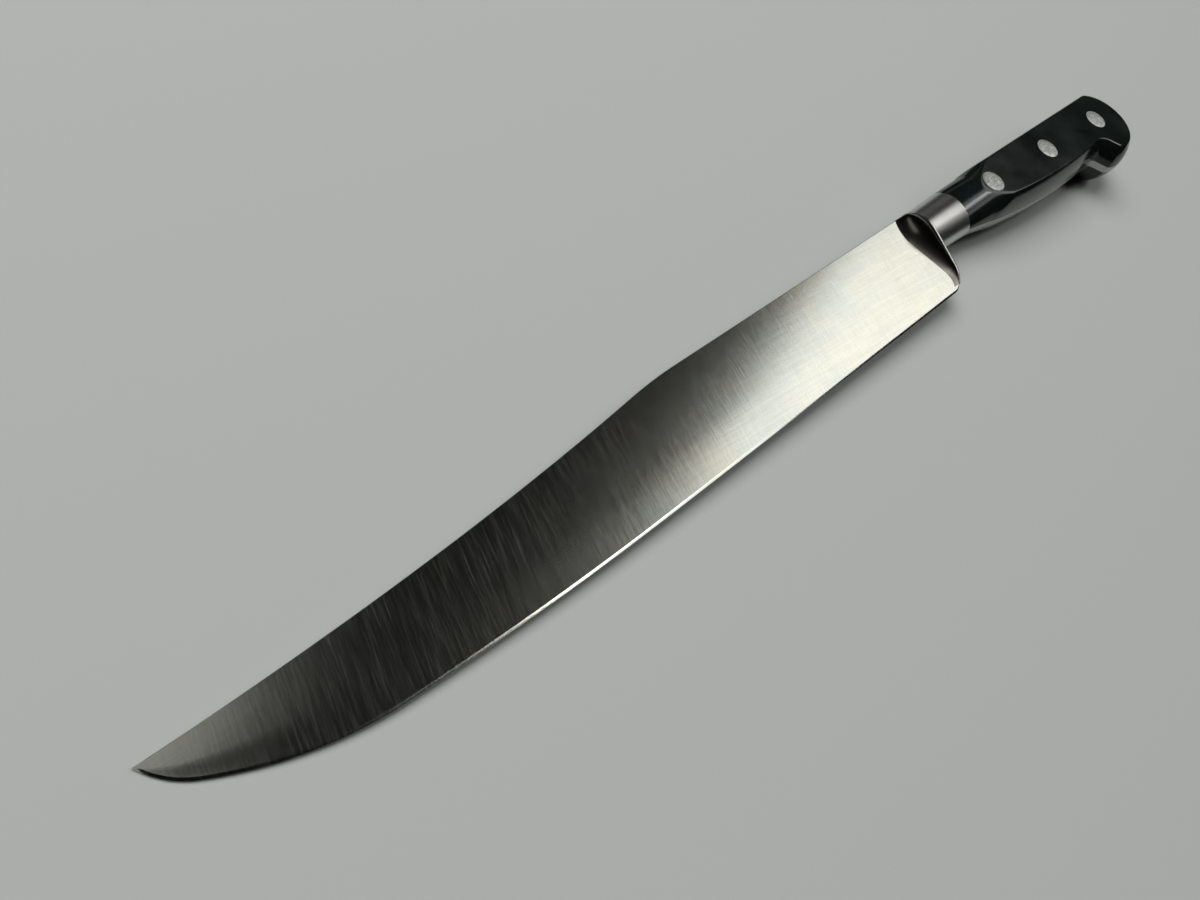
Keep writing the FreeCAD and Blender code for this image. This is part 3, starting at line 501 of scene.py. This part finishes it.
def lip_rings(drop_y, drop_z):
    """Rings over the lip: a rounded corner up from the cove, and one down to the lip's back."""
    corner = np.linspace(0.15, 1, 4) * math.pi / 2
    inward = lip_round * (1 - np.cos(corner))
    x = np.concatenate([guard_front_x + inward, guard_back_x - inward[::-1], [guard_back_x]])
    out = lip_round * (np.concatenate([np.sin(corner), np.sin(corner[::-1]), [0.0]]) - 1)
    y, z = grown(drop_y, drop_z, out[:, None])
    return thinned(point_grid(x[:, None], y, z))


def collar_rings(drop_y, drop_z, lip_end):
    """Rings in over the flat back of the guard from the lip's last ring, and along the collar.

    The collar is a cone between two ellipses, whose points stand at the drop's own angles.
    """
    angle = np.arctan2(drop_z[0], drop_y[0] - guard_centre_y)
    root_half_height = guard_half_height - collar_root_step
    root_half_width = guard_half_width - collar_root_step
    root_y = guard_centre_y + root_half_height * np.cos(angle)
    root_z = root_half_width * np.sin(angle)
    lip_y, lip_z = lip_end[:, 1], lip_end[:, 2]
    inward = np.array([0.35, 0.7, 0.97, 1.0])[:, None]
    x = guard_back_x + collar_root_run * np.array([0.0, 0.0, 0.0, 1.0])[:, None]
    back = thinned(point_grid(x, lip_y + (root_y - lip_y) * inward, lip_z + (root_z - lip_z) * inward))
    run = np.linspace(0.04, 1, 14)[:, None]
    half_height = root_half_height * (1 - run) + collar_half_height * run
    half_width = root_half_width * (1 - run) + collar_half_width * run
    centre_y = guard_centre_y * (1 - run) + collar_centre_y * run
    x = guard_back_x + (collar_end_x - guard_back_x) * run
    collar = point_grid(x, centre_y + half_height * np.cos(angle), half_width * np.sin(angle))
    return np.concatenate([back, collar])


def bolster_rings():
    """Rings from the foot of the cove over the lip to the collar's end. Below the heel's centre
    everything follows the heel's round."""
    drop_y, drop_z = drop_ring()
    lip = lip_rings(drop_y, drop_z)
    rings = np.concatenate([cove_rings(drop_y, drop_z), lip, collar_rings(drop_y, drop_z, lip[-1])])
    rings[..., 0] -= heel_retreat(rings[..., 1])
    return rings


def polished_steel(name, brightness):
    """Polished stainless steel with hair-fine lines along the knife. In the cove, in front of the
    lip, its colour is darkened as painted shade, for the dark that the hollow reflects."""
    finish = Finish(name)
    hair = finish.noise((60.0, 2600.0, 2600.0), detail=2.0)
    cloud = finish.noise((120.0, 120.0, 120.0), detail=3.0)
    warm = tuple(brightness * part for part in (0.56, 0.55, 0.52)) + (1,)
    clean = tuple(brightness * part for part in (0.63, 0.63, 0.61)) + (1,)
    x = finish.add("ShaderNodeSeparateXYZ", Vector=finish.place((1.0, 1.0, 1.0))).outputs["X"]
    lip_x = float(as_it_lies(np.array([guard_front_x, 0.0, 0.0]))[0])
    border = 0.0003
    # painted shade: in the cove, in front of the lip, the colour is multiplied by a dark brown-grey
    free_of_painted_shade = finish.between(x, lip_x - border, lip_x + border)
    colour = finish.blend(finish.between(cloud, 0.3, 0.7), warm, clean)
    finish.set(finish.shader, Base_Color=finish.shaded(colour, free_of_painted_shade, (0.4, 0.385, 0.345)),
               Metallic=1.0, Roughness=finish.between(x, lip_x, lip_x + guard_land, 0.23, 0.28),
               Normal=finish.bump(hair, 0.000006, 0.5))
    return finish.material


bolster_finish = polished_steel("polished_bolster_steel", 1.0)
bolster = knife_piece("bolster", bolster_rings(), bolster_finish, sharp_over=38.0)
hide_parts("blade")

# ---------------------------------------------------------------- the tang between the scales
# The full tang is the same forging. It tapers to the butt and is ground flush with the scales,
# so it shows as a bright strip all round the handle.
handle_top = 0.00945
top_crown = 0.0017
butt_x = 0.0742
butt_radius = 0.0156
butt_crest = 0.00242
beak_tip_turn = math.radians(21.75)
beak_length = 0.00504
beak_lean = math.radians(-58)
throat_radius = 0.003
belly_radius = 0.3
belly_low_x = 0.033
belly_crown = 0.0032
neck_end_x = -0.005
neck_half_height = 0.00925
neck_half_width = 0.009
neck_centre_y = 0.00005
neck_flare = 0.24
tang_front_half = 0.0017
tang_back_half = 0.00105
tang_back_x = butt_x + 2 * butt_radius
softness = 0.0001
softness_run = 0.004
least_softness = 0.02

butt_centre = np.array([butt_x, handle_top + butt_x * math.tan(spine_lean) + butt_crest - butt_radius])
beak_tip = butt_centre - butt_radius * np.array([math.sin(beak_tip_turn), math.cos(beak_tip_turn)])
beak_along = np.array([math.cos(beak_lean), math.sin(beak_lean)])
beak_inward = np.array([-beak_along[1], beak_along[0]])
throat = beak_tip - beak_length * beak_along - throat_radius * beak_inward
belly_centre = np.array([belly_low_x, throat[1] + math.sqrt((belly_radius + throat_radius) ** 2
                                                            - (throat[0] - belly_low_x) ** 2)])


def tang_half(x):
    """Half the tang's thickness, which tapers in a straight line from the guard to the butt."""
    share = (x - guard_back_x) / (tang_back_x - guard_back_x)
    return tang_front_half + (tang_back_half - tang_front_half) * share


def soft_most(values, width):
    """The largest of several arrays, rounded over where two are within about the width: the
    logarithm of the sum of their exponentials."""
    most = np.max(values, axis=0)
    return most + width * np.log(sum(np.exp((value - most) / width) for value in values))


def fall_back(z, crown):
    """How far a crowned side has fallen back at a height z: an arc that reaches crown at the cheeks."""
    half = handle_thickness / 2
    radius = (half ** 2 + crown ** 2) / (2 * crown)
    past_cheeks = 1.15 * half
    return radius - np.sqrt(radius ** 2 - np.clip(z, -past_cheeks, past_cheeks) ** 2)


def lower_outline(x, y, inset):
    """How far a point is outside the belly, the throat, the beak or the round of the butt.

    Each rule holds on its own stretch of x: the distance from the belly's arc, from the throat's
    small hollow arc, from the beak's straight line, and then from the butt's arc. The beak's
    line ends where it meets the circle of the butt.
    """
    hollow = throat_radius + inset
    to_belly = np.hypot(x - belly_centre[0], y - belly_centre[1]) - (belly_radius - inset)
    to_throat = hollow - np.hypot(x - throat[0], np.maximum(y - throat[1], 0))
    to_beak = hollow - ((x - throat[0]) * beak_inward[0] + (y - throat[1]) * beak_inward[1])
    to_butt = np.hypot(x - butt_centre[0], y - butt_centre[1]) - (butt_radius - inset)
    join = throat + (belly_centre - throat) * (throat_radius / (belly_radius + throat_radius))
    join_x = throat[0] + (join[0] - throat[0]) * hollow / throat_radius
    beak_x = throat[0] + beak_inward[0] * hollow
    start_x = beak_x - butt_centre[0]
    start_y = throat[1] + beak_inward[1] * hollow - butt_centre[1]
    near = start_x * beak_along[0] + start_y * beak_along[1]
    inside = near ** 2 - start_x ** 2 - start_y ** 2 + (butt_radius - inset) ** 2
    beak_end_x = beak_x + beak_along[0] * (np.sqrt(np.maximum(inside, 0)) - near)
    return np.where(x < join_x, to_belly,
                    np.where(x < beak_x, to_throat, np.where(x < beak_end_x, to_beak, to_butt)))


def outside_handle(points):
    """How far points are outside the handle: outside its crowned outline, its cheeks or its neck.

    The neck is an oval cone from the collar that flares out into the body, and each of its
    ellipses counts as a distance by its half width. The corners of the body are soft, and so is
    the neck's border, which is crisp only where it meets the collar.
    """
    x, y, z = points[..., 0], points[..., 1], points[..., 2]
    above = y - handle_top - x * math.tan(spine_lean) + fall_back(z, top_crown)
    top = above * math.cos(spine_lean)
    low = lower_outline(x, y, fall_back(z, belly_crown))
    cheek = np.abs(z) - handle_thickness / 2
    share = np.clip((x - collar_end_x) / (neck_end_x - collar_end_x), 0, 1)
    beyond = neck_flare * np.maximum(x - neck_end_x, 0)
    half_height = collar_half_height + (neck_half_height - collar_half_height) * share + beyond
    half_width = collar_half_width + (neck_half_width - collar_half_width) * share + beyond
    centre_y = collar_centre_y + (neck_centre_y - collar_centre_y) * share
    oval = (np.hypot((y - centre_y) / half_height, z / half_width) - 1) * half_width
    body = soft_most([top, low, cheek], softness)
    behind_collar = (x - collar_end_x) / softness_run
    return soft_most([body, oval], softness * np.clip(behind_collar, least_softness, 1))


def reach_out(origins, directions):
    """Where each ray from inside leaves the handle, found by halving its length again and again."""
    ray_length = 0.04
    halvings = 40
    near = np.zeros(np.broadcast(origins[..., 0], directions[..., 0]).shape)
    far = np.full(near.shape, ray_length)
    for _ in range(halvings):
        half = (near + far) / 2
        out = outside_handle(origins + directions * half[..., None]) > 0
        far = np.where(out, half, far)
        near = np.where(out, near, half)
    return origins + directions * near[..., None]


def handle_stations():
    """Stations along the handle's middle line, then turns of a fan round the butt, for all rays.

    The stations stand close together along the neck and the hook, and wider along the grip.
    """
    grip_from, grip_to = 0.008, 0.056
    neck = np.linspace(collar_end_x, grip_from, 84)
    grip = np.linspace(grip_from, grip_to, 70)
    hook = np.linspace(grip_to, butt_centre[0], 60)
    x = np.concatenate([neck[:-1], grip[:-1], hook])
    fan = np.linspace(math.pi / 2, 0, 56)[1:]
    station = np.concatenate([x, np.full(fan.shape, butt_centre[0])])
    turn = np.concatenate([np.full(x.shape, math.pi / 2), fan])
    share = np.clip((station - collar_end_x) / (butt_centre[0] - collar_end_x), 0, 1)
    middle_y = collar_centre_y + (butt_centre[1] - collar_centre_y) * share
    return station[:, None], middle_y[:, None], turn[:, None]


def tang_rings():
    """Rings of the tang: over its top from one side to the other, and back along its underside."""
    x, middle_y, turn = handle_stations()
    across = np.linspace(-1, 1, 5)[None, :]
    origins = point_grid(x, middle_y, tang_half(x) * across)
    up = point_grid(np.cos(turn), np.sin(turn), np.zeros_like(across))
    down = up * np.array([1.0, -1.0, 1.0])
    over = reach_out(origins, up)
    under = reach_out(origins, down)[:, ::-1]
    return np.concatenate([over, under], axis=1)


# the tang's steel is the bolster's steel made darker, at 0.6 of its brightness
tang = knife_piece("tang", tang_rings(), polished_steel("ground_tang_steel", 0.6), sharp_over=40.0)
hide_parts("blade")

# ---------------------------------------------------------------- the scales
# Two scales of black moulded polymer are riveted to the tang and ground to shape with it: flat
# cheeks, a convex belly, a hooked butt, and a neck that flares out of the collar's oval.


def scale_rings(side):
    """Rings of one scale: from the top of the tang's face round the outside to its underside.

    At each station a ray turns by half a circle about the point on the tang's face, and the
    scale's skin lies where that ray leaves the handle. side is 1 for the left, -1 for the right.
    """
    x, middle_y, turn = handle_stations()
    swing = np.linspace(0, math.pi, 150)[None, :]
    origins = point_grid(x, middle_y, tang_half(x) * np.ones_like(swing))
    out = point_grid(np.cos(turn), np.sin(turn) * np.cos(swing), np.sin(turn) * np.sin(swing))
    return reach_out(origins, out) * np.array([1.0, 1.0, side])


def black_polymer():
    """Black moulded polymer, semi-gloss, with faint handling smears and fine rub marks."""
    finish = Finish("black_scale_polymer")
    smear = finish.noise((70.0, 90.0, 90.0), (0, 0, 0.6), detail=4.0)
    rub = finish.noise((260.0, 1900.0, 1900.0), (0, 0, -0.25), detail=2.0)
    black, greenish_grey = (0.0035, 0.0058, 0.0052, 1), (0.009, 0.0145, 0.013, 1)
    colour = finish.blend(finish.between(smear, 0.35, 0.75), black, greenish_grey)
    finish.set(finish.shader, Base_Color=colour, IOR=1.48,
               Roughness=finish.between(smear, 0.3, 0.75, 0.11, 0.19),
               Normal=finish.bump(rub, 0.000006, 0.35))
    return finish.material


scale_finish = black_polymer()
for side_name, side in (("left", 1.0), ("right", -1.0)):
    scale = knife_piece(side_name + "_scale_shell", scale_rings(side), scale_finish, sharp_over=50.0)
    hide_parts(side_name + "_scale")

# ---------------------------------------------------------------- the rivets
# Three two-part rivets of soft white metal hold the scales: a stud from the left side is driven
# into a socket from the right, and both heads are ground flush with the cheeks.
rivet_pitch = 0.0361
rivet_head_radius = 0.004
rivet_head_height = 0.003
rivet_head_ease = 0.00012
rivet_stem_radius = 0.0017
rivet_tube_radius = 0.0025
rivet_end_gap = 0.0004
rivet_clearance = 0.00003
rivet_proud = 0.00003
least_radius = 1e-6


def turned(profile, x, side):
    """Rings of a piece turned about the line through x along z: each profile place (radius,
    height) is carried round a circle. side is 1 for a head on the left, -1 on the right."""
    profile = np.array(profile)
    turn = np.linspace(0, 2 * math.pi, 72, endpoint=False)[None, :]
    radius, height = profile[:, 0:1], profile[:, 1:2]
    return point_grid(x + radius * np.cos(turn), radius * np.sin(turn), side * height * np.ones_like(turn))


def rivet_profiles():
    """Radius and height of the stud and of the socket, both written with the head at the top.

    The head's corner is eased over three places, and its face swells a little to the middle.
    """
    cheek = handle_thickness / 2
    under = cheek - rivet_head_height
    end = -under + rivet_end_gap
    bore = rivet_stem_radius + rivet_clearance
    head = [(rivet_head_radius, under), (rivet_head_radius, cheek - rivet_head_ease),
            (rivet_head_radius - rivet_head_ease * 0.3,
             cheek - rivet_head_ease * 0.3 + rivet_proud * 0.6),
            (rivet_head_radius - rivet_head_ease, cheek + rivet_proud * 0.8),
            (rivet_head_radius * 0.5, cheek + rivet_proud), (least_radius, cheek + rivet_proud)]
    stud = [(least_radius, end), (rivet_stem_radius, end), (rivet_stem_radius, under)]
    socket = [(least_radius, under), (bore, under), (bore, end), (rivet_tube_radius, end),
              (rivet_tube_radius, under)]
    return {"stud": (stud + head, 1.0), "socket": (socket + head, -1.0)}


def rivet_metal():
    """Soft white metal, ground flat: matt and mottled, with fine pits and rub marks."""
    finish = Finish("ground_rivet_metal")
    grain = finish.noise((1000.0, 1000.0, 1000.0), detail=4.0, roughness=0.7)
    rub = finish.noise((400.0, 3600.0, 900.0), (0, 0, 0.9), detail=2.0)
    dull, bright = (0.38, 0.39, 0.36, 1), (0.72, 0.74, 0.69, 1)
    pits = finish.bump(grain, 0.00003, 0.6)
    finish.set(finish.shader, Base_Color=finish.blend(finish.between(grain, 0.38, 0.62), dull, bright),
               Metallic=0.75, Roughness=finish.between(rub, 0.3, 0.7, 0.42, 0.6),
               Normal=finish.bump(rub, 0.00001, 0.4, under=pits))
    return finish.material


rivet_finish = rivet_metal()
for station, place in enumerate(("front", "middle", "rear")):
    for half, (profile, side) in rivet_profiles().items():
        node = "%s_rivet_%s" % (place, half)
        rivet = knife_piece(node + "_turned", turned(profile, station * rivet_pitch, side), rivet_finish)
        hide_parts(node)

# ---------------------------------------------------------------- floor, light and camera
# A plain pale floor in a dim room. The lamps hang level, face down and show in the steel as
# patches with straight borders: a window and its sill, a ceiling lamp and the glow of two
# walls. The fill overhead doesn't show there, and only lights what is matt, as the floor is.
floor_half = 3.0
lamp_height = 3.0
window_lean = math.radians(19.3)


def plain_floor():
    """A flat square under the knife, in a plain pale grey."""
    mesh = bpy.data.meshes.new("floor")
    mesh.from_pydata([(-floor_half, -floor_half, 0), (floor_half, -floor_half, 0),
                      (floor_half, floor_half, 0), (-floor_half, floor_half, 0)], [], [(0, 1, 2, 3)])
    finish = Finish("plain_floor")
    finish.set(finish.shader, Base_Color=(0.50, 0.52, 0.50, 1), Roughness=0.9, Specular_IOR_Level=0.2)
    mesh.materials.append(finish.material)
    floor = bpy.data.objects.new("floor", mesh)
    bpy.context.scene.collection.objects.link(floor)


def soft_panel(name, place, lean, width, depth, brightness, glossy=True):
    """A lamp of width by depth that hangs at a place, faces down and is turned by lean about +Z.

    Places and sizes are shares of lamp_height. brightness is how bright the lamp's face is,
    where 1 is white: the power is brightness x pi x area.
    """
    lamp = bpy.data.lights.new(name, "AREA")
    lamp.shape = "RECTANGLE"
    lamp.size = width * lamp_height
    lamp.size_y = depth * lamp_height
    lamp.energy = brightness * math.pi * lamp.size * lamp.size_y
    light = bpy.data.objects.new(name, lamp)
    where = Matrix.Translation([share * lamp_height for share in place])
    light.matrix_world = where @ Matrix.Rotation(lean, 4, "Z")
    light.visible_glossy = glossy
    bpy.context.scene.collection.objects.link(light)


def dim_room():
    """A room that is dim to the knife, but as pale as the floor where the camera sees past it."""
    world = bpy.data.worlds.new("dim_room")
    world.use_nodes = True
    tree = world.node_tree
    background = tree.nodes["Background"]
    background.inputs["Color"].default_value = (0.55, 0.57, 0.55, 1)
    strength = tree.nodes.new("ShaderNodeMapRange")
    strength.inputs["To Min"].default_value = 0.009
    strength.inputs["To Max"].default_value = 0.85
    light_path = tree.nodes.new("ShaderNodeLightPath")
    tree.links.new(light_path.outputs["Is Camera Ray"], strength.inputs["Value"])
    tree.links.new(strength.outputs["Result"], background.inputs["Strength"])
    bpy.context.scene.world = world


def photograph_camera():
    """The camera stands over the tip and looks along the blade, in the knife's own directions."""
    place = np.array([-0.27828, -0.04731, 0.175])
    forward = np.array([0.50599, 0.20835, -0.83700])
    right = np.array([0.72992, -0.62045, 0.28681])
    down = np.array([-0.45956, -0.75606, -0.46602])
    focal_pixels = 905.0
    picture_width = 1200.0
    camera = bpy.data.cameras.new("camera")
    camera.sensor_width = 36.0
    camera.lens = camera.sensor_width * focal_pixels / picture_width
    camera.clip_start = 0.01
    stand = np.eye(4)
    for column, axis in enumerate((right, -down, -forward)):
        stand[:3, column] = as_it_lies(axis) - as_it_lies(np.zeros(3))
    stand[:3, 3] = as_it_lies(place)
    seen = bpy.data.objects.new("camera", camera)
    seen.matrix_world = Matrix(stand.tolist())
    bpy.context.scene.collection.objects.link(seen)
    bpy.context.scene.camera = seen


plain_floor()
soft_panel("window_panel", (1.03, -0.101, 1.0), window_lean, 1.08, 0.6, 1.72)
soft_panel("window_sill_panel", (0.891, -0.577, 1.0), window_lean, 0.8, 0.21, 1.7)
soft_panel("side_wall_glow", (2.55, 1.794, 1.0), window_lean, 2.2, 1.5, 0.14)
soft_panel("ceiling_lamp", (0.52, -0.22, 0.985), math.radians(20.0), 0.34, 0.16, 6.5)
soft_panel("far_wall_glow", (-0.14, 0.605, 1.0), 0.0, 0.24, 0.9, 0.5)
soft_panel("overhead_fill", (-0.1, 0.4, 2 / 3), 0.0, 2 / 3, 2 / 3, 3.95, glossy=False)
dim_room()
photograph_camera()
bpy.context.scene.view_settings.view_transform = "Standard"
